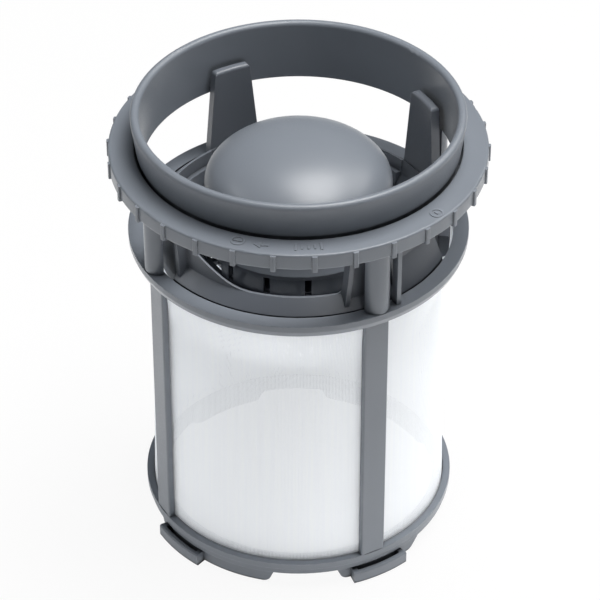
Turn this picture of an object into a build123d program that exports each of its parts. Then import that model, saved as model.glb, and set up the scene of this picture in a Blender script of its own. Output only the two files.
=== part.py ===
from build123d import *
from math import asin, cos, degrees, radians, sin
import os

# Cylinder filter of a dishwasher: a mesh drum carried by a grip collar, with a lift-out insert.
# Millimetres, +Z up, origin under the middle of the base, front of the filter towards -Y.
# Azimuths are degrees from the front, positive towards +X.

# Grip collar
rim_radius = 47.7
rim_width = 2.8
rim_height = 11.3
rim_undercut = 1.5
collar_draft = 0.3
collar_skirt = 2.4
collar_skirt_wall = 1.6
seam_width = 0.7
seam_depth = 0.6
seam_reach = 0.6
seam_drop = 2.0
flange_reach = 7.8
flange_thickness = 4.9
flange_rounding = 0.6
rib_count = 30
rib_phase = 4.7
rib_width = 1.5
rib_proud = 0.55
rib_drop = 0.45
rib_top_step = 0.35

# Columns between the flange and the drum, and the struts under them
sector_count = 4
sector_phase = 28.5
column_radius = 3.75
column_height = 23.5
column_inset = 0.5
fin_azimuth = 36.0
fin_width = 1.4
fin_depth = 2.4
fin_flare = 2.2
fin_flare_height = 3.5
strut_width = 7.6
strut_depth = 2.2
strut_gap = 0.3
strut_rounding = 0.5

# Drum frame
ring_step = 0.2
ring_width = 4.45
ring_thickness = 3.55
ring_chamfer = 0.65
ring_chamfer_height = 1.7
ledge_depth = 2.0
ledge_gap = 0.4
ledge_spans = ((-53.0, 70.0), (127.0, 250.0))
drum_height = 87.75
foot_ring_wall = 2.4
foot_ring_height = 2.0
foot_ring_rebate = 1.0

# Fine mesh sleeve, drawn in between the struts below the ring
mesh_foot_inset = 3.6
mesh_head_step = 0.2
mesh_thickness = 0.5
mesh_gap = 0.1
mesh_bows = ((0.2, 3.1), (0.5, 2.0), (0.8, 0.9))
mesh_points = 16

# Bayonet base
base_band_step = 0.6
base_band_height = 2.1
base_bore_inset = 2.9
spigot_wall = 0.7
spigot_gap = 0.1
skirt_step = 1.2
skirt_wall = 2.3
skirt_drop = 4.8
skirt_notch_height = 4.3
skirt_notch_rounding = 1.4
skirt_corner = 2.5
skirt_notches = ((-11.6, 17.1, -9.3, 14.7), (49.0, 114.5, 56.0, 111.0))
lug_proud = 3.1
lug_height = 4.1
lug_drop = 0.5
lug_edge = 0.4
lug_lip = 1.4
lug_floor = 1.8
lug_end = 1.6
lug_span = 22.0
lug_azimuths = (31.6, -50.5)

# Lift-out insert
insert_gap = 0.4
seat_gap = 0.1
shell_wall = 2.1
shell_inset = 3.6
sill_height = 5.8
sill_edge = 0.7
sill_rabbet = 4.2
flare_spans = ((-53.0, 34.0), (127.0, 242.0))
panel_flare_spans = ((34.0, 68.0),)
panel_flare_height = 9.0
ramp_start = 6.5
ramp_slope = 0.5
ramp_rounding = 20.0
pilot_depth = 5.4
tab_inset = 0.9
tab_height = 31.5
tab_top_width = 11.2
tab_foot_width = 16.2
tab_corner = 1.2
tab_back = 1.2
tab_side = 1.4
tab_cap = 1.8
tab_rounding = 0.9
tab_heel_rise = 1.5
window_corner = 1.6
panel_height = 23.8
panel_slope = (84.0, 100.0)
nub_azimuth = 84.0
nub_width = 5.2
nub_height = 7.7
nub_proud = 3.2
nub_foot_rounding = 2.6
nub_head_rounding = 0.6
floor_thickness = 1.8
floor_bar_count = 18
floor_bar_width = 1.6
floor_margin = 1.6

# Strainer basket and dome cap
lip_ring_radius = 29.5
lip_ring_height = 1.1
lip_ring_width = 3.0
lip_ring_overhang = 1.0
basket_wall = 1.5
basket_height = 9.7
basket_gap = 0.15
basket_slot_count = 15
basket_slot_phase = 5.5
basket_slot_width = 1.9
basket_slot_margin = 0.5
basket_port_offset = 24.1
basket_port_width = 4.2
basket_port_height = 4.4
basket_plate_inset = 1.5
basket_plate_thickness = 1.5
basket_spoke_count = 8
basket_spoke_width = 1.8
dome_step = 2.5
dome_rise = 13.4
dome_height = 25.7
dome_wall = 1.8
dome_flare_height = 4.0
dome_flare_rounding = 6.0
dome_spigot = 1.2

# Heights above the surface that the base stands on
skirt_bottom = lug_drop
base_band_bottom = skirt_bottom + skirt_drop
foot_ring_bottom = base_band_bottom + base_band_height
foot_ring_top = foot_ring_bottom + foot_ring_height
ring_bottom = foot_ring_top + drum_height
ring_top = ring_bottom + ring_thickness
flange_bottom = ring_top + column_height
flange_top = flange_bottom + flange_thickness
rim_top = flange_top + rim_height
collar_bottom = flange_bottom - collar_skirt
seat_level = ring_top - ledge_depth
insert_bottom = seat_level + seat_gap
shell_bottom = insert_bottom - pilot_depth
sill_level = insert_bottom + sill_height
tab_top = insert_bottom + tab_height
floor_top = shell_bottom + floor_thickness
basket_top = shell_bottom + basket_height
dome_top = basket_top + dome_height
sector_step = 360 / sector_count

# Radii that follow from the fits
rim_rounding = 0.45 * rim_width
mesh_foot_radius = rim_radius - mesh_foot_inset
mouth_radius = rim_radius - rim_width
neck_radius = rim_radius - rim_undercut
flange_radius = neck_radius + flange_reach
collar_bore = mouth_radius - collar_draft
insert_radius = collar_bore - insert_gap
tab_radius = insert_radius - tab_inset
shell_radius = insert_radius - shell_inset
shell_bore = shell_radius - shell_wall
ring_bore = collar_bore + ring_step
ring_radius = ring_bore + ring_width
ledge_bore = shell_radius + ledge_gap
mesh_head_radius = ring_bore + mesh_head_step
strut_radius = mesh_foot_radius + strut_depth
foot_ring_radius = mesh_foot_radius + foot_ring_wall
base_band_radius = foot_ring_radius - base_band_step
base_bore_radius = mesh_foot_radius - base_bore_inset
skirt_radius = base_band_radius - skirt_step
lug_radius = skirt_radius + lug_proud
basket_radius = lip_ring_radius - lip_ring_overhang
dome_radius = lip_ring_radius - dome_step


def turned(points, rounded=()):
    """Turn a closed outline of (radius, height) points about the axis.

    rounded lists (index of point, fillet radius) for corners that are softened first.
    """
    outline = make_face(Polyline(*points, close=True))
    for index, radius in rounded:
        corner = outline.vertices().sort_by_distance(points[index])[0]
        outline = fillet(corner, radius)
    return revolve(Plane.XZ * outline, Axis.Z)


def at(azimuth, radius=0.0, height=0.0):
    """Place on the azimuth: local +X points outwards, +Z stays up."""
    return Rot(0, 0, azimuth - 90) * Pos(radius, 0, height)


def outward(azimuth):
    """Plane through the axis that faces outwards: local X to the right seen from outside, Y up."""
    place = radians(azimuth - 90)
    facing = Vector(cos(place), sin(place), 0)
    return Plane(origin=(0, 0, 0), x_dir=(-sin(place), cos(place), 0), z_dir=facing)


def upright(section, bottom, top):
    """Extrude a flat section from one height to another."""
    return Pos(0, 0, bottom) * extrude(section, top - bottom)


def sector_azimuths():
    return [sector_phase + sector_step * k for k in range(sector_count)]


# Grip collar: rim tube, flange, grip ribs, columns and stop fin
def collar_tube():
    seam_top = flange_top + seam_width
    points = [
        (collar_bore, collar_bottom),
        (mouth_radius, rim_top),
        (rim_radius, rim_top),
        (neck_radius, seam_top),
        (neck_radius - seam_depth, seam_top),
        (neck_radius - seam_depth, flange_top - seam_drop),
        (neck_radius + seam_reach, flange_top - seam_drop),
        (neck_radius + seam_reach, flange_top),
        (flange_radius, flange_top),
        (flange_radius, flange_bottom),
        (collar_bore + collar_skirt_wall, flange_bottom),
        (collar_bore + collar_skirt_wall, collar_bottom),
    ]
    rounded = [(1, rim_rounding), (2, rim_rounding), (8, flange_rounding), (9, flange_rounding)]
    return turned(points, rounded)


def grip_ribs():
    depth = rib_proud + flange_rounding
    section = fillet(Rectangle(2 * depth, rib_width).vertices(), rib_width / 4)
    bar = upright(section, flange_bottom - rib_drop, flange_top - rib_top_step)
    pitch = 360 / rib_count
    middle = flange_radius + rib_proud - depth
    return [at(rib_phase + pitch * k, middle) * bar for k in range(rib_count)]


def columns():
    flat = ring_bore + column_inset
    section = Pos(flat, 0) * Circle(column_radius)
    section -= Pos(flat / 2, 0) * Rectangle(flat, 4 * column_radius)
    post = upright(section, ring_top, flange_bottom + flange_thickness / 4)
    return [at(azimuth) * post for azimuth in sector_azimuths()]


def stop_fin():
    half = fin_width / 2
    root = flange_bottom + flange_thickness / 4
    outline = make_face(Polyline(
        (-half, ring_top), (half, ring_top),
        (half, flange_bottom - fin_flare_height),
        (half + fin_flare, flange_bottom),
        (half + fin_flare, root),
        (-half, root),
        close=True,
    ))
    blade = extrude(Plane.YZ * outline, fin_depth)
    return at(fin_azimuth, ring_bore + column_inset) * blade


def make_grip_collar():
    return collar_tube() + grip_ribs() + columns() + stop_fin()


# Drum frame: ring with the insert's ledge, struts, foot ring
def over_mesh_ring():
    points = [
        (ring_bore, ring_bottom),
        (ring_bore, ring_top),
        (ring_radius, ring_top),
        (ring_radius, ring_bottom + ring_chamfer_height),
        (ring_radius - ring_chamfer, ring_bottom),
    ]
    return turned(points)


def arcs(points, spans):
    """Turn an outline over each span from one azimuth to another."""
    outline = Plane.XZ * make_face(Polyline(*points, close=True))
    return [at(start) * revolve(outline, Axis.Z, end - start) for start, end in spans]


def ledges():
    root = ring_bore + ring_step
    return arcs([
        (ledge_bore, ring_bottom), (root, ring_bottom),
        (root, seat_level), (ledge_bore, seat_level),
    ], ledge_spans)


def foot_ring():
    rebate_radius = mesh_foot_radius + 2 * mesh_gap
    bore = base_bore_radius + spigot_wall + spigot_gap
    points = [
        (rebate_radius, foot_ring_top),
        (foot_ring_radius, foot_ring_top),
        (foot_ring_radius, foot_ring_bottom),
        (bore, foot_ring_bottom),
        (bore, foot_ring_top - foot_ring_rebate),
        (rebate_radius, foot_ring_top - foot_ring_rebate),
    ]
    return turned(points)


def mesh_outline(radius, bow, height):
    """Round the drum at one height: at the given radius by the struts, drawn in by bow between them."""
    ring = []
    for k in range(mesh_points):
        turn = 360 * k / mesh_points
        drawn = radius - bow * sin(radians(turn * sector_count / 2)) ** 2
        place = radians(turn + sector_phase - 90)
        ring.append((drawn * cos(place), drawn * sin(place), height))
    return make_face(Spline(*ring, periodic=True))


def mesh_body(offset):
    """Solid inside the mesh's outer face, moved out by offset."""
    low = foot_ring_top - foot_ring_rebate
    tall = ring_bottom - low
    sections = [mesh_outline(mesh_head_radius + offset, 0, ring_bottom)]
    for share, bow in mesh_bows:
        sections.append(mesh_outline(mesh_foot_radius + offset, bow, ring_bottom - share * tall))
    sections.append(mesh_outline(mesh_foot_radius + offset, 0, low))
    return loft(sections)


def struts():
    low = foot_ring_top - foot_ring_rebate / 2
    high = ring_bottom + ring_chamfer_height / 2
    depth = strut_depth - strut_gap
    section = Pos(strut_radius - depth / 2, 0) * Rectangle(depth, strut_width)
    section = fillet(section.vertices().group_by(Axis.X)[-1], strut_rounding)
    bar = upright(section, low, high)
    return [at(azimuth) * bar for azimuth in sector_azimuths()]


def make_drum_frame():
    body = mesh_body(mesh_gap)
    bars = [bar - body for bar in struts()]
    return over_mesh_ring() + ledges() + bars + foot_ring()


def make_mesh_sleeve():
    return mesh_body(0) - mesh_body(-mesh_thickness)


# Bayonet base: band, spigot, notched skirt and lugs
def base_band():
    spigot_radius = base_bore_radius + spigot_wall
    points = [
        (base_bore_radius, foot_ring_top),
        (spigot_radius, foot_ring_top),
        (spigot_radius, foot_ring_bottom),
        (base_band_radius, foot_ring_bottom),
        (base_band_radius, base_band_bottom),
        (skirt_radius, base_band_bottom),
        (skirt_radius, skirt_bottom),
        (skirt_radius - skirt_wall, skirt_bottom),
        (base_bore_radius, base_band_bottom),
    ]
    return turned(points)


def skirt_notch(foot_start, foot_end, top_start, top_end):
    """Opening in the skirt between azimuths, with slanted ends and a softened corner at each foot."""
    middle = (foot_start + foot_end) / 2
    top = skirt_bottom + skirt_notch_height

    def across(azimuth):
        return skirt_radius * sin(radians(azimuth - middle))

    outline = make_face(Polyline(
        (across(foot_start) - skirt_corner, -lug_drop), (across(foot_end) + skirt_corner, -lug_drop),
        (across(foot_end) + skirt_corner, skirt_bottom), (across(foot_end), skirt_bottom),
        (across(top_end), top), (across(top_start), top),
        (across(foot_start), skirt_bottom), (across(foot_start) - skirt_corner, skirt_bottom),
        close=True,
    ))
    for azimuth in (foot_start, foot_end):
        foot = outline.vertices().sort_by_distance((across(azimuth), skirt_bottom))[0]
        outline = fillet(foot, skirt_corner)
    outline = fillet(outline.vertices().group_by(Axis.Y)[-1], skirt_notch_rounding)
    return Rot(0, 0, middle) * extrude(outward(0) * outline, 2 * skirt_radius)


def lug_sweep(points, span):
    return at(-span / 2) * revolve(Plane.XZ * make_face(Polyline(*points, close=True)), Axis.Z, span)


def bayonet_lug():
    """Curved tray at azimuth 0: an outer lip and two end walls round a sunk floor beside the skirt."""
    root = skirt_radius - skirt_wall / 2
    bar = lug_sweep([
        (root, 0),
        (lug_radius - lug_edge, 0),
        (lug_radius, lug_edge),
        (lug_radius, lug_height - lug_edge),
        (lug_radius - lug_edge, lug_height),
        (root, lug_height),
    ], lug_span)
    pocket = lug_sweep([
        (skirt_radius, lug_floor),
        (lug_radius - lug_lip, lug_floor),
        (lug_radius - lug_lip, 2 * lug_height),
        (skirt_radius, 2 * lug_height),
    ], lug_span - 2 * degrees(lug_end / lug_radius))
    return bar - pocket


def make_bayonet_base():
    base = base_band()
    for notch in skirt_notches:
        base -= [Rot(0, 0, turn) * skirt_notch(*notch) for turn in (0, 180)]
    lug = bayonet_lug()
    return base + [Rot(0, 0, azimuth + turn) * lug for azimuth in lug_azimuths for turn in (0, 180)]


# Lift-out insert: wall with windows and a side panel, flared foot, finger tabs, catch nub, floor
def shell_ring():
    panel_top = insert_bottom + panel_height
    return turned([
        (shell_radius, shell_bottom), (shell_radius, panel_top),
        (shell_bore, panel_top), (shell_bore, shell_bottom),
    ])


def beside_tab(width):
    """Half width of the opening that leaves a tab of the given width at both ends of a sector."""
    return shell_radius * sin(radians(sector_step / 2) - asin(width / 2 / shell_radius))


def window(azimuth, ramps):
    """Opening between two finger tabs, with a rabbet that leaves a thin edge along the sill.

    ramps says whether the left and right foot climb in a long sweep.
    """
    top_half = beside_tab(tab_top_width)
    foot_half = beside_tab(tab_foot_width)
    lean = (top_half - foot_half) / (tab_top - sill_level)
    climb = ramp_slope * (foot_half - ramp_start) / (1 - ramp_slope * lean)
    corners = []
    for side, ramped in zip((-1, 1), ramps):
        steps = [(side * foot_half, sill_level, window_corner)]
        if ramped:
            steps = [
                (side * (foot_half + lean * climb), sill_level + climb, window_corner),
                (side * ramp_start, sill_level, ramp_rounding),
            ]
        corners += steps if side < 0 else steps[::-1]
    points = [(-top_half, tab_top)] + [(x, height) for x, height, radius in corners] + [(top_half, tab_top)]
    outline = make_face(Polyline(*points, close=True))
    for x, height, radius in corners:
        outline = fillet(outline.vertices().sort_by_distance((x, height))[0], radius)
    inside = upright(Circle(shell_radius - sill_edge), shell_bottom, tab_top)
    opening = extrude(outward(azimuth) * outline, 2 * insert_radius)
    return opening + (Pos(0, 0, -sill_rabbet) * opening & inside)


def foot_flare(top, spans):
    """Outward slope from the wall at the given height to the insert's seat."""
    root = shell_radius - sill_edge / 2
    return arcs([
        (root, insert_bottom), (insert_radius, insert_bottom), (insert_radius, ring_top),
        (shell_radius, top), (root, top),
    ], spans)


def tab_wedge(azimuth, inset, bottom, top):
    """Radial block with the tab's tapered front, drawn in by inset at both sides."""
    taper = (tab_foot_width - tab_top_width) / (tab_top - sill_level)
    bottom_half = (tab_top_width + taper * (tab_top - bottom)) / 2 - inset
    top_half = (tab_top_width + taper * (tab_top - top)) / 2 - inset
    outline = make_face(Polyline(
        (-bottom_half, bottom), (bottom_half, bottom), (top_half, top), (-top_half, top),
        close=True,
    ))
    outline = fillet(outline.vertices().group_by(Axis.Y)[-1], tab_corner)
    return extrude(outward(azimuth) * outline, 2 * insert_radius)


def finger_tab(azimuth):
    """Shallow channel outside the wall, open outwards and downwards, closed by a rounded cap."""
    root = shell_radius - sill_edge / 2
    ring = turned([
        (root, insert_bottom), (tab_radius, insert_bottom),
        (tab_radius, tab_top), (shell_radius, tab_top),
        (shell_radius, sill_level), (root, sill_level),
    ], [(2, tab_rounding), (3, tab_rounding)])
    hollow = turned([
        (shell_radius + tab_back, insert_bottom), (insert_radius, insert_bottom),
        (insert_radius, tab_top), (shell_radius + tab_back, tab_top),
    ])
    block = ring & tab_wedge(azimuth, 0, insert_bottom, tab_top)
    return block - (hollow & tab_wedge(azimuth, tab_side, insert_bottom, tab_top - tab_cap))


def behind_tab(azimuth):
    """The part of the wall that a free-standing tab doesn't have behind it, down to a slope over the floor."""
    inner = shell_bore - shell_wall
    above = turned([
        (inner, sill_level), (shell_radius, sill_level), (shell_radius, tab_top), (inner, tab_top),
    ])
    below = turned([
        (inner, floor_top), (shell_bore, floor_top), (shell_radius, insert_bottom + tab_heel_rise),
        (shell_radius, tab_top), (inner, tab_top),
    ])
    wide = tab_wedge(azimuth, -2 * window_corner, sill_level, tab_top)
    return (above & wide) + (below & tab_wedge(azimuth, 0, floor_top, tab_top))


def panel_end(middle):
    """Opening in which the side panel's edge runs down to the sill before the next tab."""
    top, foot = (shell_radius * sin(radians(azimuth - middle)) for azimuth in panel_slope)
    outline = make_face(Polyline(
        (top, tab_top), (foot, sill_level), (shell_radius, sill_level), (shell_radius, tab_top),
        close=True,
    ))
    outline = fillet(outline.vertices().sort_by_distance((foot, sill_level))[0], 2 * window_corner)
    return extrude(outward(middle) * outline, 2 * insert_radius)


def catch_nub():
    depth = nub_proud + shell_wall / 2
    middle = shell_radius + nub_proud - depth / 2
    block = Pos(middle, 0, shell_bottom + nub_height / 2) * Box(depth, nub_width, nub_height)
    for end, radius in ((0, nub_foot_rounding), (-1, nub_head_rounding)):
        outer = block.faces().sort_by(Axis.X)[-1].edges().filter_by(Axis.Y).sort_by(Axis.Z)
        block = fillet(outer[end], radius)
    return at(nub_azimuth) * block


def floor_ring(inner, outer, bottom, top):
    return turned([(inner, bottom), (outer, bottom), (outer, top), (inner, top)])


def slotted_floor():
    bore = basket_radius + basket_gap
    floor = floor_ring(bore, shell_bore + shell_wall / 2, shell_bottom, floor_top)
    openings = floor_ring(bore + floor_margin, shell_bore - floor_margin, shell_bottom, floor_top)
    bar = Box(shell_bore, floor_bar_width, 2 * floor_thickness)
    pitch = 360 / floor_bar_count
    bars = [at(pitch * k, shell_bore, floor_top) * bar for k in range(floor_bar_count)]
    return floor - (openings - bars)


def make_insert_shell():
    first = sector_phase - sector_step / 2
    wall = shell_ring()
    wall -= window(first, (True, False))
    wall -= window(first - sector_step, (False, True))
    wall -= window(first - 2 * sector_step, (False, False))
    wall -= panel_end(first + sector_step)
    wall -= [behind_tab(sector_phase + sector_step * k) for k in (1, 2)]
    flares = foot_flare(sill_level, flare_spans) + foot_flare(ring_top + panel_flare_height, panel_flare_spans)
    tabs = [finger_tab(azimuth) for azimuth in sector_azimuths()]
    return wall + flares + tabs + slotted_floor() + catch_nub()


# Strainer basket: lip ring over a slotted wall, side ports, and a bottom plate on spokes
def basket_wall_ring():
    under_lip = basket_top - lip_ring_height
    inner = basket_radius - basket_wall
    return turned([
        (inner, shell_bottom), (basket_radius, shell_bottom),
        (basket_radius, under_lip), (lip_ring_radius, under_lip),
        (lip_ring_radius, basket_top), (lip_ring_radius - lip_ring_width, basket_top),
        (lip_ring_radius - lip_ring_width, under_lip), (inner, under_lip),
    ])


def basket_slots():
    low = floor_top + basket_slot_margin
    high = basket_top - lip_ring_height - basket_slot_margin
    slot = Box(2 * basket_wall, basket_slot_width, high - low)
    pitch = 360 / basket_slot_count
    middle = (basket_radius - basket_wall / 2, (low + high) / 2)
    return [at(basket_slot_phase + pitch * k, *middle) * slot for k in range(basket_slot_count)]


def basket_ports():
    port = Box(basket_port_width, 4 * basket_radius, basket_port_height)
    middle = floor_top + basket_port_height / 2
    return [Pos(side * basket_port_offset, 0, middle) * port for side in (-1, 1)]


def bottom_plate():
    inner = basket_radius - basket_wall
    plate = Circle(inner - basket_plate_inset)
    spoke = Rectangle(2 * inner + basket_wall, basket_spoke_width)
    pitch = 360 / basket_spoke_count
    for k in range(basket_spoke_count // 2):
        plate += Rot(0, 0, pitch * (k + 0.5)) * spoke
    return upright(plate, shell_bottom, shell_bottom + basket_plate_thickness)


def make_strainer_basket():
    return basket_wall_ring() - basket_slots() - basket_ports() + bottom_plate()


# Dome cap: half an oblate ellipsoid on a straight side with a flared foot
def dome_shell(radius, rise, foot_radius):
    """Solid under a quarter ellipse and a straight side that ends in the given foot radius."""
    shoulder = dome_top - dome_rise
    knee = (radius, basket_top + dome_flare_height)
    side = make_face([
        Polyline((0, shoulder), (0, basket_top), (foot_radius, basket_top), knee, (radius, shoulder)),
        Line((radius, shoulder), (0, shoulder)),
    ])
    if foot_radius > radius:
        side = fillet(side.vertices().sort_by_distance(knee)[0], dome_flare_rounding)
    crown = make_face([
        EllipticalCenterArc((0, shoulder), radius, rise, 0, arc_size=90),
        Polyline((0, shoulder + rise), (0, shoulder), (radius, shoulder)),
    ])
    return revolve(Plane.XZ * side, Axis.Z) + revolve(Plane.XZ * crown, Axis.Z)


def make_dome_cap():
    inner = dome_radius - dome_wall
    spigot = lip_ring_radius - lip_ring_width - basket_gap
    foot = [
        (inner, basket_top - dome_spigot), (spigot, basket_top - dome_spigot),
        (spigot, basket_top + dome_wall), (inner, basket_top + dome_wall),
    ]
    shell = dome_shell(dome_radius, dome_rise, lip_ring_radius)
    hollow = dome_shell(inner, dome_rise - dome_wall, inner)
    return shell - hollow + turned(foot)


def main():
    os.makedirs("parts", exist_ok=True)
    nodes = {
        "grip_collar": make_grip_collar(),
        "drum_frame": make_drum_frame(),
        "mesh_sleeve": make_mesh_sleeve(),
        "bayonet_base": make_bayonet_base(),
        "insert_shell": make_insert_shell(),
        "strainer_basket": make_strainer_basket(),
        "dome_cap": make_dome_cap(),
    }
    for name, shape in nodes.items():
        export_step(shape, "parts/" + name + ".step")
        print(name, round(shape.volume, 1), shape.is_valid)


main()
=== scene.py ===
import bpy
import numpy as np
from math import cos, sin, radians, pi
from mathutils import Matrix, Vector


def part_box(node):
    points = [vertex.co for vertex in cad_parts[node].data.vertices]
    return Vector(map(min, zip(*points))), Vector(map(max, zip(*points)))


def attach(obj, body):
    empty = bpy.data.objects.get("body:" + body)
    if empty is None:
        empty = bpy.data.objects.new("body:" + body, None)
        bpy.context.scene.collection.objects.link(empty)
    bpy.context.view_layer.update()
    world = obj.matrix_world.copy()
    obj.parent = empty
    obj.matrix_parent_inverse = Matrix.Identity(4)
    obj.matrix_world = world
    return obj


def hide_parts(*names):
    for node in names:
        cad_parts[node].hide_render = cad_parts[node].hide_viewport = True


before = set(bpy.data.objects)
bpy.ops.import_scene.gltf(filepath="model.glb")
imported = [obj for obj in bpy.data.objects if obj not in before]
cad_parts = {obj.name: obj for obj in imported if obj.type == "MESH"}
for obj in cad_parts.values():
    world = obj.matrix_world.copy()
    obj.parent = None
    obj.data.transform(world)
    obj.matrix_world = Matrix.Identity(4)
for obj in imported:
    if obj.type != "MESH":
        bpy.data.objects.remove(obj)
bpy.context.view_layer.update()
print("frame loaded:", len(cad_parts), "nodes")

mm = 0.001
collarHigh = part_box("grip_collar")[1]
sleeveLow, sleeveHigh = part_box("mesh_sleeve")

# What more than one new piece is built from
filterShape = {
    "rimAboveFlange": 11.3 * mm,
    "sectorPhase": 28.5,  # azimuth of the first strut, in degrees from the front
    "sectorCount": 4,
}
flangeTop = collarHigh[2] - filterShape["rimAboveFlange"]


# Short ways to build node trees and meshes
def addNode(tree, kind, **values):
    node = tree.nodes.new(kind)
    for name, value in values.items():
        setattr(node, name, value)
    return node


def join(tree, source, target):
    tree.links.new(source, target)


# A number is set on the socket, an output is linked to it
def feed(tree, value, socket):
    if isinstance(value, (int, float)):
        socket.default_value = value
    else:
        join(tree, value, socket)


def mathNode(tree, operation, first, second=None, clamp=False):
    node = addNode(tree, "ShaderNodeMath", operation=operation, use_clamp=clamp)
    feed(tree, first, node.inputs[0])
    if second is not None:
        feed(tree, second, node.inputs[1])
    return node.outputs[0]


def noiseNode(tree, vector, scale, detail=2.0, roughness=0.5):
    node = addNode(tree, "ShaderNodeTexNoise")
    join(tree, vector, node.inputs["Vector"])
    for name, value in (("Scale", scale), ("Detail", detail), ("Roughness", roughness)):
        feed(tree, value, node.inputs[name])
    return node.outputs["Fac"]


def rangeNode(tree, value, low, high, newLow=0.0, newHigh=1.0):
    node = addNode(tree, "ShaderNodeMapRange")
    join(tree, value, node.inputs["Value"])
    for name, number in (("From Min", low), ("From Max", high), ("To Min", newLow), ("To Max", newHigh)):
        feed(tree, number, node.inputs[name])
    return node.outputs["Result"]


# Sum of two values by their shares
def blendNode(tree, first, second, share):
    return mathNode(tree, "ADD", mathNode(tree, "MULTIPLY", first, share),
                    mathNode(tree, "MULTIPLY", second, 1 - share))


def mixNode(tree, first, second, factor):
    node = addNode(tree, "ShaderNodeMix", data_type="RGBA")
    for name, colour in (("A", first), ("B", second)):
        if isinstance(colour, tuple):
            node.inputs[name].default_value = (*colour, 1)
        else:
            join(tree, colour, node.inputs[name])
    join(tree, factor, node.inputs["Factor"])
    return node.outputs["Result"]


def bumpNode(tree, height, strength, depth, normal=None):
    node = addNode(tree, "ShaderNodeBump")
    node.inputs["Strength"].default_value = strength
    node.inputs["Distance"].default_value = depth
    join(tree, height, node.inputs["Height"])
    if normal is not None:
        join(tree, normal, node.inputs["Normal"])
    return node.outputs["Normal"]


def objectPlace(tree):
    return addNode(tree, "ShaderNodeTexCoord").outputs["Object"]


def startGroup(name, inputs, outputs):
    tree = bpy.data.node_groups.new(name, "ShaderNodeTree")
    for label, kind, value in inputs:
        socket = tree.interface.new_socket(label, in_out="INPUT", socket_type=kind)
        socket.default_value = value
    for label, kind in outputs:
        tree.interface.new_socket(label, in_out="OUTPUT", socket_type=kind)
    return tree, addNode(tree, "NodeGroupInput"), addNode(tree, "NodeGroupOutput")


def placeGroup(tree, group, **values):
    node = addNode(tree, "ShaderNodeGroup", node_tree=group)
    for name, value in values.items():
        node.inputs[name].default_value = value
    return node.outputs


def startMaterial(name):
    material = bpy.data.materials.new(name)
    material.use_nodes = True
    tree = material.node_tree
    return material, tree, tree.nodes["Principled BSDF"]


# Mesh object from arrays of corners and faces, riding on a body
def surfaceObject(name, corners, faces, body, material, smooth=True, uv=None):
    mesh = bpy.data.meshes.new(name)
    mesh.from_pydata(corners.tolist(), [], [list(face) for face in faces])
    mesh.polygons.foreach_set("use_smooth", [smooth] * len(faces))
    if uv is not None:
        layer = mesh.uv_layers.new(name="cloth")
        layer.data.foreach_set("uv", uv[faces.ravel()].ravel())
    mesh.update()
    piece = bpy.data.objects.new(name, mesh)
    bpy.context.scene.collection.objects.link(piece)
    piece.data.materials.append(material)
    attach(piece, body)
    return piece


# Quads between neighbouring points of a grid; closed joins its last row or column to the first
def gridFaces(rows, columns, closedRows=False, closedColumns=False):
    lastRow = rows if closedRows else rows - 1
    lastColumn = columns if closedColumns else columns - 1
    row, column = np.meshgrid(np.arange(lastRow), np.arange(lastColumn), indexing="ij")
    nextRow, nextColumn = (row + 1) % rows, (column + 1) % columns
    corners = [row * columns + column, row * columns + nextColumn,
               nextRow * columns + nextColumn, nextRow * columns + column]
    return np.stack(corners, -1).reshape(-1, 4)


# Fine moulded skin: grain in the mould's steel, long flow marks, slow colour change
skinLook = {
    "flowStretch": (1.0, 1.0, 0.18),  # flow marks run along the filter's axis
    "cloudSize": 28.0, "grainInHeight": 0.75, "flowInTone": 0.5,
    "glossRange": (0.35, 0.65), "depth": 0.2 * mm,
}


def buildMouldedSkin(look):
    tree, given, out = startGroup(
        "mouldedSkin",
        [("Grain Size", "NodeSocketFloat", 2200.0), ("Flow Size", "NodeSocketFloat", 60.0)],
        [("Height", "NodeSocketFloat"), ("Tone", "NodeSocketFloat"), ("Gloss", "NodeSocketFloat")],
    )
    place = objectPlace(tree)
    grain = noiseNode(tree, place, given.outputs["Grain Size"], detail=3.0, roughness=0.6)
    stretch = addNode(tree, "ShaderNodeMapping")
    stretch.inputs["Scale"].default_value = look["flowStretch"]
    join(tree, place, stretch.inputs["Vector"])
    flow = noiseNode(tree, stretch.outputs["Vector"], given.outputs["Flow Size"], detail=4.0, roughness=0.55)
    cloud = noiseNode(tree, place, look["cloudSize"])
    join(tree, blendNode(tree, grain, flow, look["grainInHeight"]), out.inputs["Height"])
    join(tree, blendNode(tree, flow, cloud, look["flowInTone"]), out.inputs["Tone"])
    join(tree, rangeNode(tree, grain, *look["glossRange"]), out.inputs["Gloss"])
    return tree


# Rounded corners of the mould, and a painted highlight along them, broken up in patches
edgeLook = {
    "samples": 4, "roundRadius": 0.2 * mm, "highlightRadius": 0.4 * mm,
    "highlightTurn": (0.99, 0.8),  # cosine between face and rounded face, from no painted highlight to full painted highlight
    "highlightPatchRange": (0.35, 0.6),
}


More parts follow.
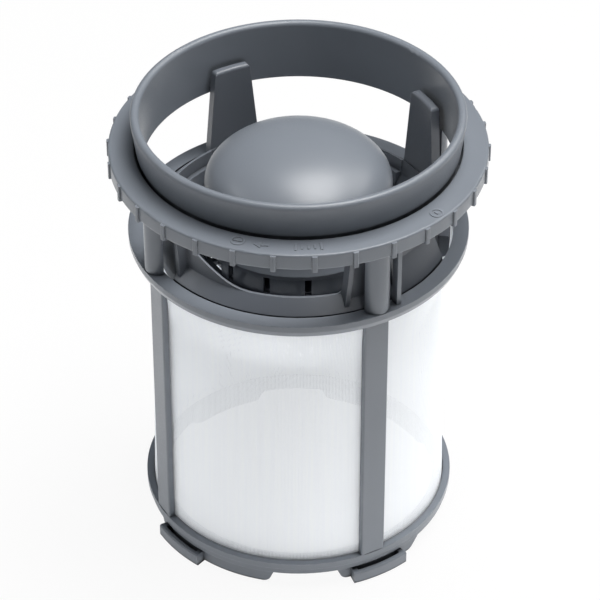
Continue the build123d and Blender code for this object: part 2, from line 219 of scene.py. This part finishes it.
def buildSoftEdge(look):
    tree, given, out = startGroup(
        "softEdge",
        [("Highlight Patch Size", "NodeSocketFloat", 420.0)],
        [("Normal", "NodeSocketVector"), ("Edge", "NodeSocketFloat")],
    )
    rounded, edgeHighlight = (addNode(tree, "ShaderNodeBevel", samples=look["samples"]) for _ in range(2))
    rounded.inputs["Radius"].default_value = look["roundRadius"]
    edgeHighlight.inputs["Radius"].default_value = look["highlightRadius"]
    turn = addNode(tree, "ShaderNodeVectorMath", operation="DOT_PRODUCT")
    join(tree, edgeHighlight.outputs["Normal"], turn.inputs[0])
    join(tree, addNode(tree, "ShaderNodeNewGeometry").outputs["Normal"], turn.inputs[1])
    bent = rangeNode(tree, turn.outputs["Value"], *look["highlightTurn"])
    marks = noiseNode(tree, objectPlace(tree), given.outputs["Highlight Patch Size"], detail=3.0, roughness=0.6)
    highlightPatches = rangeNode(tree, marks, *look["highlightPatchRange"])
    join(tree, rounded.outputs["Normal"], out.inputs["Normal"])
    join(tree, mathNode(tree, "MULTIPLY", bent, highlightPatches, clamp=True), out.inputs["Edge"])
    return tree


# Painted shade in seams and inner corners, broken up in patches: little open sky within reach gives a mask
# of 1
paintedShadeLook = {
    "samples": 4, "openSky": (0.72, 0.38),  # share of open sky, from no shade to full shade
    "patchRange": (0.3, 0.6), "patchShade": (0.75, 1.0),
}


def buildPaintedShade(look):
    tree, given, out = startGroup(
        "paintedShade",
        [("Reach", "NodeSocketFloat", 2.2 * mm), ("Patch Size", "NodeSocketFloat", 300.0)],
        [("Shade", "NodeSocketFloat")],
    )
    sky = addNode(tree, "ShaderNodeAmbientOcclusion", samples=look["samples"])
    join(tree, given.outputs["Reach"], sky.inputs["Distance"])
    shut = rangeNode(tree, sky.outputs["AO"], *look["openSky"])
    patches = noiseNode(tree, objectPlace(tree), given.outputs["Patch Size"], detail=3.0, roughness=0.6)
    patch = rangeNode(tree, patches, *look["patchRange"], *look["patchShade"])
    join(tree, mathNode(tree, "MULTIPLY", shut, patch, clamp=True), out.inputs["Shade"])
    return tree


mouldedSkin = buildMouldedSkin(skinLook)
softEdge = buildSoftEdge(edgeLook)
paintedShade = buildPaintedShade(paintedShadeLook)

# What a user would change on each plastic: colours are linear, and the darkest of them is painted shade for
# seams and inner corners
# the lightest colour of each plastic is a painted highlight for rounded edges
plastics = {
    "slatePlastic": {
        "dark": (0.15, 0.168, 0.195), "pale": (0.185, 0.206, 0.236), "edge": (0.36, 0.39, 0.43),
        "grain": 2400.0, "flow": 70.0, "bump": 0.05, "rough": (0.32, 0.44), "edgeHighlightAmount": 0.5,
        "paintedShade": (0.006, 0.007, 0.008), "paintedShadeAmount": 1.0,
    },
    "insertPlastic": {
        "dark": (0.105, 0.117, 0.137), "pale": (0.135, 0.15, 0.174), "edge": (0.3, 0.33, 0.37),
        "grain": 2400.0, "flow": 70.0, "bump": 0.05, "rough": (0.34, 0.46), "edgeHighlightAmount": 0.45,
        "paintedShade": (0.006, 0.007, 0.008), "paintedShadeAmount": 1.0,
    },
    "basketPlastic": {
        "dark": (0.12, 0.131, 0.15), "pale": (0.15, 0.163, 0.185), "edge": (0.32, 0.34, 0.37),
        "grain": 2600.0, "flow": 60.0, "bump": 0.01, "rough": (0.18, 0.24), "edgeHighlightAmount": 0.4,
        "paintedShade": (0.02, 0.022, 0.026), "paintedShadeAmount": 0.7,
    },
    "domePlastic": {
        "dark": (0.15, 0.167, 0.192), "pale": (0.182, 0.202, 0.231), "edge": (0.34, 0.37, 0.41),
        "grain": 2600.0, "flow": 45.0, "bump": 0.05, "rough": (0.3, 0.4), "edgeHighlightAmount": 0.3,
        "paintedShade": (0.006, 0.007, 0.008), "paintedShadeAmount": 0.8,
    },
}
nodeFinish = {
    "grip_collar": "slatePlastic", "drum_frame": "slatePlastic", "bayonet_base": "slatePlastic",
    "insert_shell": "insertPlastic", "strainer_basket": "basketPlastic", "dome_cap": "domePlastic",
}


def buildPlastic(name, look):
    material, tree, shader = startMaterial(name)
    skin = placeGroup(tree, mouldedSkin, **{"Grain Size": look["grain"], "Flow Size": look["flow"]})
    edge = placeGroup(tree, softEdge)
    shade = placeGroup(tree, paintedShade)
    moulded = mixNode(tree, look["dark"], look["pale"], skin["Tone"])
    # painted highlight: the colour lightens towards the lightest colour on rounded edges, in patches
    edgeHighlight = mixNode(tree, moulded, look["edge"], mathNode(tree, "MULTIPLY", edge["Edge"], look["edgeHighlightAmount"]))
    # painted shade: the colour darkens towards the darkest colour where little open sky is within reach
    depth = mathNode(tree, "MULTIPLY", shade["Shade"], look["paintedShadeAmount"])
    join(tree, mixNode(tree, edgeHighlight, look["paintedShade"], depth), shader.inputs["Base Color"])
    join(tree, rangeNode(tree, skin["Gloss"], 0.0, 1.0, *look["rough"]), shader.inputs["Roughness"])
    normal = bumpNode(tree, skin["Height"], look["bump"], skinLook["depth"], edge["Normal"])
    join(tree, normal, shader.inputs["Normal"])
    return material


finishes = {name: buildPlastic(name, look) for name, look in plastics.items()}
for nodeName, finish in nodeFinish.items():
    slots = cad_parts[nodeName].data.materials
    slots.clear()
    slots.append(finishes[finish])
print("plastics set on", len(nodeFinish), "mouldings")

# Woven mesh cloth round the drum
cloth = {
    "headRadius": 45.0 * mm, "footRadius": 44.1 * mm, "rows": 90, "columns": 288,
    # depth of the bow between struts, where it peaks as a share of the height, and how fast it fades below
    "bow": 3.1 * mm, "bowShare": 0.2, "bowFall": 1.1,
    "threadPitch": 0.42, "threadWidth": 0.3,  # millimetres, as the UV map is
    "thread": (0.85, 0.88, 0.91), "shade": (0.74, 0.77, 0.81),
    "heightInTone": 0.45, "streakRange": (0.3, 0.7), "streakTone": (0.3, 0.65),
    "glow": 0.13,  # painted light: the cloth glows in its own colour, standing in for light that comes through it from inside
    "rough": 0.55, "bump": 0.25, "bumpDepth": 0.08 * mm,
}
weaveLook = {
    "underShare": 0.5,  # height of a thread that passes under, as a share of one that passes over
    "streakStretch": (1.0, 0.02, 1.0), "streakSize": 0.7,
}


# Threads that cross over and under each other on a UV map in millimetres
def buildWeave(look):
    tree, given, out = startGroup(
        "weave",
        [("Pitch", "NodeSocketFloat", 0.42), ("Width", "NodeSocketFloat", 0.3)],
        [("Cover", "NodeSocketFloat"), ("Height", "NodeSocketFloat"), ("Streak", "NodeSocketFloat")],
    )
    place = addNode(tree, "ShaderNodeUVMap", uv_map="cloth")
    split = addNode(tree, "ShaderNodeSeparateXYZ")
    join(tree, place.outputs["UV"], split.inputs[0])
    half = mathNode(tree, "MULTIPLY", given.outputs["Width"], 0.5)
    edge = mathNode(tree, "DIVIDE", half, given.outputs["Pitch"])
    bands, domes, cells = [], [], []
    for axis in ("X", "Y"):
        steps = mathNode(tree, "DIVIDE", split.outputs[axis], given.outputs["Pitch"])
        offset = mathNode(tree, "ABSOLUTE", mathNode(tree, "SUBTRACT", mathNode(tree, "FRACT", steps), 0.5))
        bands.append(mathNode(tree, "LESS_THAN", offset, edge))
        share = mathNode(tree, "DIVIDE", offset, edge)
        square = mathNode(tree, "MULTIPLY", share, share)
        domes.append(mathNode(tree, "SUBTRACT", 1.0, square, clamp=True))
        cells.append(mathNode(tree, "FLOOR", steps))
    over = mathNode(tree, "MODULO", mathNode(tree, "ABSOLUTE", mathNode(tree, "ADD", *cells)), 2.0)
    threads = []
    for dome, onTop in zip(domes, (over, mathNode(tree, "SUBTRACT", 1.0, over))):
        lift = mathNode(tree, "MULTIPLY", onTop, 1 - look["underShare"])
        threads.append(mathNode(tree, "MULTIPLY", dome, mathNode(tree, "ADD", lift, look["underShare"])))
    join(tree, mathNode(tree, "MAXIMUM", *bands), out.inputs["Cover"])
    join(tree, mathNode(tree, "MAXIMUM", *threads), out.inputs["Height"])
    stretch = addNode(tree, "ShaderNodeMapping")
    stretch.inputs["Scale"].default_value = look["streakStretch"]
    join(tree, place.outputs["UV"], stretch.inputs["Vector"])
    streak = noiseNode(tree, stretch.outputs["Vector"], look["streakSize"], detail=3.0, roughness=0.65)
    join(tree, streak, out.inputs["Streak"])
    return tree


def buildClothMaterial(look):
    material, tree, shader = startMaterial("wovenMesh")
    weave = placeGroup(tree, buildWeave(weaveLook), Pitch=look["threadPitch"], Width=look["threadWidth"])
    lit = mathNode(tree, "MULTIPLY", weave["Height"], look["heightInTone"])
    streaks = rangeNode(tree, weave["Streak"], *look["streakRange"], *look["streakTone"])
    tone = mixNode(tree, look["shade"], look["thread"], mathNode(tree, "ADD", lit, streaks, clamp=True))
    join(tree, tone, shader.inputs["Base Color"])
    # painted light: the cloth's colour also glows, standing in for light coming through the cloth from
    # inside
    join(tree, tone, shader.inputs["Emission Color"])
    join(tree, weave["Cover"], shader.inputs["Alpha"])
    shader.inputs["Emission Strength"].default_value = look["glow"]
    shader.inputs["Roughness"].default_value = look["rough"]
    join(tree, bumpNode(tree, weave["Height"], look["bump"], look["bumpDepth"]), shader.inputs["Normal"])
    return material


# Sheet round the drum: the radius by the struts blends from head to foot, less a bow that peaks between them
def makeMeshCloth(look):
    rows, columns = look["rows"], look["columns"]
    share = np.linspace(0, 1, rows)[:, None]
    turn = np.linspace(0, 2 * pi, columns + 1)[None, :]
    rise = np.clip(share / look["bowShare"], 0, 1)
    rise = rise * rise * (3 - 2 * rise)
    fall = 1 - np.clip((share - look["bowShare"]) / (1 - look["bowShare"]), 0, 1)
    bow = look["bow"] * rise * fall ** look["bowFall"]
    side = look["footRadius"] + (look["headRadius"] - look["footRadius"]) * (1 - rise)
    radius = side - bow * np.sin(turn * filterShape["sectorCount"] / 2) ** 2
    place = turn + radians(filterShape["sectorPhase"] - 90)
    height = sleeveHigh[2] + (sleeveLow[2] - sleeveHigh[2]) * share + 0 * turn
    corners = np.stack([radius * np.cos(place), radius * np.sin(place), height], -1).reshape(-1, 3)
    around = look["footRadius"] * turn / mm + 0 * share
    uv = np.stack([around, height / mm], -1).reshape(-1, 2)
    faces = gridFaces(rows, columns + 1)[:, ::-1]
    material = buildClothMaterial(look)
    return surfaceObject("meshCloth", corners, faces, "drum", material, uv=uv)


meshCloth = makeMeshCloth(cloth)
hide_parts("mesh_sleeve")
print("mesh cloth woven")

# Raised marks on the flange: plain ticks, a pointer, a bar scale and two rings
marks = {
    "rise": 0.2, "sink": 0.05, "draft": 0.07,  # millimetres
    "segments": 40,
    # azimuth, radius, size along the flange, size outwards
    "bars": (
        (-9.9, 50.1, 1.1, 0.7), (-11.2, 50.2, 1.1, 0.7),
        (-0.9, 50.1, 0.6, 3.0), (1.1, 50.1, 0.6, 1.9), (3.1, 50.1, 0.6, 1.9),
        (5.1, 50.1, 0.6, 1.9), (7.1, 50.1, 0.6, 3.0),
        (-19.3, 49.9, 2.6, 0.6), (47.7, 51.2, 0.6, 1.2),
    ),
    "pointer": (-12.9, 50.2, 2.0, 2.6),
    # azimuth, middle radius, ring radius, ring width
    "rings": ((-19.3, 49.9, 1.75, 0.5), (47.7, 51.2, 1.7, 0.5)),
}


# Outlines lie flat as (along, outwards) in millimetres; along bends round the filter's axis
def onFlange(along, outwards, height, azimuth, radius):
    reach = radius + outwards
    place = radians(azimuth - 90) + along / radius
    level = flangeTop + height * mm + 0 * along
    return np.stack([reach * np.cos(place) * mm, reach * np.sin(place) * mm, level], -1)


# Pad with drafted sides: a wide loop sunk in the flange and a narrower loop on top, both capped
def padMesh(outline, azimuth, radius, look):
    outline = np.array(outline, float)
    middle = outline.mean(0)
    reach = np.linalg.norm(outline - middle, axis=1, keepdims=True)
    wide = middle + (outline - middle) * (1 + look["draft"] / reach)
    low = onFlange(wide[:, 0], wide[:, 1], -look["sink"], azimuth, radius)
    high = onFlange(outline[:, 0], outline[:, 1], look["rise"], azimuth, radius)
    count = len(outline)
    sides = gridFaces(2, count, closedColumns=True).tolist()
    return np.concatenate([low, high]), sides + [list(range(count, 2 * count)), list(range(count))[::-1]]


# Ring with a four-sided section, closed both ways
def ringMesh(azimuth, radius, ringRadius, ringWidth, look):
    turn = np.linspace(0, 2 * pi, look["segments"], endpoint=False)[None, :]
    half = ringWidth / 2
    section = np.array([
        (half + look["draft"], -look["sink"]), (half, look["rise"]),
        (-half, look["rise"]), (-half - look["draft"], -look["sink"]),
    ])
    reach = ringRadius + section[:, :1]
    height = section[:, 1:] + 0 * turn
    corners = onFlange(reach * np.cos(turn), reach * np.sin(turn), height, azimuth, radius)
    return corners.reshape(-1, 3), gridFaces(len(section), look["segments"], True, True).tolist()


def makeFlangeMarks(look):
    pieces = []
    for azimuth, radius, wide, deep in look["bars"]:
        x, y = wide / 2, deep / 2
        pieces.append(padMesh([(-x, -y), (x, -y), (x, y), (-x, y)], azimuth, radius, look))
    azimuth, radius, wide, deep = look["pointer"]
    x, y = wide / 2, deep / 2
    pieces.append(padMesh([(-x, 0), (x, -y), (x, y)], azimuth, radius, look))
    pieces += [ringMesh(*ring, look) for ring in look["rings"]]
    corners, faces, start = [], [], 0
    for points, sides in pieces:
        corners.append(points)
        faces += [[start + index for index in side] for side in sides]
        start += len(points)
    return surfaceObject("flangeMarks", np.concatenate(corners), faces, "drum",
                         finishes["slatePlastic"], smooth=False)


flangeMarks = makeFlangeMarks(marks)
print("flange marks raised")

# Floor, backdrop and light
studio = {
    "floorSize": 8.0, "floorColour": (0.72, 0.72, 0.72), "floorRough": 0.9, "floorWhite": 0.92,
    "worldStrength": 0.05, "aim": (0, 0, 90 * mm),
    "lamps": (
        # name, where it stands, size, power, colour
        ("topBox", (0.22, 0.08, 1.08), (0.7, 0.55), 14.0, (1.0, 0.99, 0.98)),
        ("frontBox", (0.26, -0.52, 0.75), (0.2, 0.2), 0.8, (1.0, 1.0, 1.0)),
        ("rightBox", (0.62, 0.3, 0.76), (0.5, 0.5), 2.9, (1.0, 0.99, 0.97)),
        ("leftBox", (-0.8, 0.1, 0.6), (0.4, 0.4), 1.8, (0.96, 0.98, 1.0)),
    ),
    # faint light table in the floor, shining upwards
    "tableHeight": 0.5 * mm, "tableSize": (0.4, 0.4), "tablePower": 0.33, "tableColour": (1, 1, 1),
}


# What the camera sees directly turns whiteShare white; light on the object is unchanged
def whiteBackground(tree, shaderOutput, whiteShare, target):
    path = addNode(tree, "ShaderNodeLightPath")
    direct, through = path.outputs["Is Camera Ray"], path.outputs["Is Transmission Ray"]
    seen = mathNode(tree, "ADD", direct, through, clamp=True)
    glow = addNode(tree, "ShaderNodeEmission")
    glow.inputs["Strength"].default_value = 1.0
    blend = addNode(tree, "ShaderNodeMixShader")
    join(tree, mathNode(tree, "MULTIPLY", seen, whiteShare), blend.inputs["Fac"])
    join(tree, shaderOutput, blend.inputs[1])
    join(tree, glow.outputs[0], blend.inputs[2])
    join(tree, blend.outputs[0], target)


def addLamp(name, place, turn, size, power, colour):
    lamp = bpy.data.lights.new(name, "AREA")
    lamp.shape = "RECTANGLE"
    lamp.size, lamp.size_y = size
    lamp.energy = power
    lamp.color = colour
    stand = bpy.data.objects.new(name, lamp)
    stand.location = place
    stand.rotation_euler = turn
    bpy.context.scene.collection.objects.link(stand)
    return stand


def makeFloor(look):
    half = look["floorSize"] / 2
    mesh = bpy.data.meshes.new("floor")
    corners = [(-half, -half, 0), (half, -half, 0), (half, half, 0), (-half, half, 0)]
    mesh.from_pydata(corners, [], [(0, 1, 2, 3)])
    floor = bpy.data.objects.new("floor", mesh)
    bpy.context.scene.collection.objects.link(floor)
    paper, tree, shader = startMaterial("whitePaper")
    shader.inputs["Base Color"].default_value = (*look["floorColour"], 1)
    shader.inputs["Roughness"].default_value = look["floorRough"]
    surface = tree.nodes["Material Output"].inputs["Surface"]
    whiteBackground(tree, shader.outputs[0], look["floorWhite"], surface)
    mesh.materials.append(paper)


def makeWorld(look):
    world = bpy.data.worlds.new("studio")
    bpy.context.scene.world = world
    world.use_nodes = True
    tree = world.node_tree
    sky = tree.nodes["Background"]
    sky.inputs["Color"].default_value = (1, 1, 1, 1)
    sky.inputs["Strength"].default_value = look["worldStrength"]
    whiteBackground(tree, sky.outputs[0], 1.0, tree.nodes["World Output"].inputs["Surface"])


def makeLights(look):
    for name, place, size, power, colour in look["lamps"]:
        aim = (Vector(look["aim"]) - Vector(place)).to_track_quat("-Z", "Y").to_euler()
        addLamp(name, place, aim, size, power, colour)
    table = addLamp("lightTable", (0, 0, look["tableHeight"]), (pi, 0, 0),
                    look["tableSize"], look["tablePower"], look["tableColour"])
    table.visible_camera = False


makeFloor(studio)
makeWorld(studio)
makeLights(studio)
print("studio lit by", len(studio["lamps"]), "lamps and a light table")

# Where the photograph was taken from
camera = {
    "focalPixels": 2997.0, "imagePixels": 600.0, "shiftPixels": 1.5, "sensorWidth": 36.0,
    "distance": 0.884, "pitch": 37.703, "aimBelowFlange": 56.715 * mm, "clipStart": 0.05,
}


def setCamera(view):
    pitch = radians(view["pitch"])
    data = bpy.data.cameras.new("photoCamera")
    data.sensor_width = view["sensorWidth"]
    data.lens = view["sensorWidth"] * view["focalPixels"] / view["imagePixels"]
    data.shift_x = view["shiftPixels"] / view["imagePixels"]
    data.clip_start = view["clipStart"]
    eye = bpy.data.objects.new("photoCamera", data)
    aim = flangeTop - view["aimBelowFlange"]
    eye.location = (0, -view["distance"] * cos(pitch), aim + view["distance"] * sin(pitch))
    eye.rotation_euler = (pi / 2 - pitch, 0, 0)
    bpy.context.scene.collection.objects.link(eye)
    bpy.context.scene.camera = eye


setCamera(camera)
bpy.context.scene.view_settings.view_transform = "Standard"
print("camera set")
